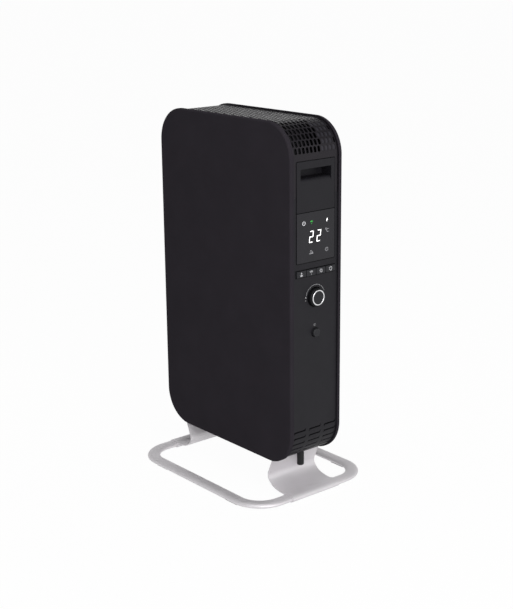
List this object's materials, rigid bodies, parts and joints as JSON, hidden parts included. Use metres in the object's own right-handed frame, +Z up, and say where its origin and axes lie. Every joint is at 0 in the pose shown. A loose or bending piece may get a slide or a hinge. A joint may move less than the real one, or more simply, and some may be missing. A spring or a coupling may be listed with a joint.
{
  "type": "oil filled radiator heater",
  "caption": "Slim free-standing oil-filled radiator with flat side panels, a perforated top, an end display, keys, knob and button, on a tubular loop stand.",
  "frame": {"origin": "middle of the stand's footprint, on the floor", "axes": "+X towards the control end, -Y out of the front panel, +Z up"},
  "size_m": [0.3443, 0.2604, 0.62],
  "materials": {
    "panel_paint": "satin powder coat, near-black grey",
    "shell_plastic": "fine matt moulded texture, dark grey",
    "control_plastic": "fine matt, dark grey",
    "window_plastic": "smoked glossy window",
    "inner_plastic": "plain black moulding",
    "chrome_ring": "polished",
    "board_laminate": "green circuit board",
    "component_case": "moulded component cases",
    "lamp_module": "white light box",
    "capacitor_can": "sleeved can",
    "stand_metal": "satin silver",
    "pad_rubber": "matt grey",
    "bright_steel": "zinc-plated",
    "sheet_steel": "galvanised sheet",
    "base_paint": "black painted sheet",
    "section_paint": "dark heat-proof paint",
    "gasket_fibre": "pressed fibre",
    "lead_silicone": "silicone sleeve"
  },
  "bodies": {
    "heater": {"front_panel": "panel_paint", "rear_panel": "panel_paint", "top_grille": "shell_plastic", "control_end_cap": "shell_plastic", "far_end_cap": "shell_plastic", "handle_plate": "shell_plastic", "far_handle_plate": "shell_plastic", "display_window": "window_plastic", "display_carrier": "inner_plastic", "cable_gland": "inner_plastic", "gland_nut": "inner_plastic", "terminal_block": "inner_plastic", "power_switch": "inner_plastic", "tilt_switch": "inner_plastic", "room_sensor": "inner_plastic", "display_board": "board_laminate", "control_board": "board_laminate", "power_board": "board_laminate", "wireless_module": "board_laminate", "relay": "component_case", "transformer": "component_case", "key_switches": "component_case", "encoder_body": "component_case", "led_module": "lamp_module", "capacitor": "capacitor_can", "stand_loop": "stand_metal", "near_bracket": "stand_metal", "far_bracket": "stand_metal", "foot_pads": "pad_rubber", "stand_screws": "bright_steel", "stand_nuts": "bright_steel", "board_screws": "bright_steel", "heating_element": "bright_steel", "thermal_cutout": "bright_steel", "header_plugs": "bright_steel", "oil_fill_plug": "bright_steel", "front_panel_hangers": "sheet_steel", "rear_panel_hangers": "sheet_steel", "core_saddles": "sheet_steel", "base_plate": "base_paint", "near_partition": "base_paint", "oil_section_1": "section_paint", "oil_section_2": "section_paint", "oil_section_3": "section_paint", "oil_section_4": "section_paint", "oil_section_5": "section_paint", "oil_section_6": "section_paint", "oil_section_7": "section_paint", "element_gasket": "gasket_fibre", "element_leads": "lead_silicone"},
    "knob": {"knob_body": "control_plastic", "knob_ring": "chrome_ring", "knob_face": "control_plastic", "encoder_shaft": "bright_steel"},
    "power_button": {"power_button": "control_plastic"},
    "lock_key": {"lock_key": "control_plastic"},
    "wifi_key": {"wifi_key": "control_plastic"},
    "mode_key": {"mode_key": "control_plastic"},
    "timer_key": {"timer_key": "control_plastic"}
  },
  "joints": [
    {"name": "knob_turn", "type": "hinge", "parent": "heater", "child": "knob", "pos_m": [0.1708, 0, 0.3414], "axis": [1, 0, 0], "continuous": true},
    {"name": "power_press", "type": "slide", "parent": "heater", "child": "power_button", "axis": [-1, 0, 0], "range_m": [0, 0.002], "stiffness_N_per_m": 1500},
    {"name": "lock_press", "type": "slide", "parent": "heater", "child": "lock_key", "axis": [-1, 0, 0], "range_m": [0, 0.0006], "stiffness_N_per_m": 2000},
    {"name": "wifi_press", "type": "slide", "parent": "heater", "child": "wifi_key", "axis": [-1, 0, 0], "range_m": [0, 0.0006], "stiffness_N_per_m": 2000},
    {"name": "mode_press", "type": "slide", "parent": "heater", "child": "mode_key", "axis": [-1, 0, 0], "range_m": [0, 0.0006], "stiffness_N_per_m": 2000},
    {"name": "timer_press", "type": "slide", "parent": "heater", "child": "timer_key", "axis": [-1, 0, 0], "range_m": [0, 0.0006], "stiffness_N_per_m": 2000}
  ]
}
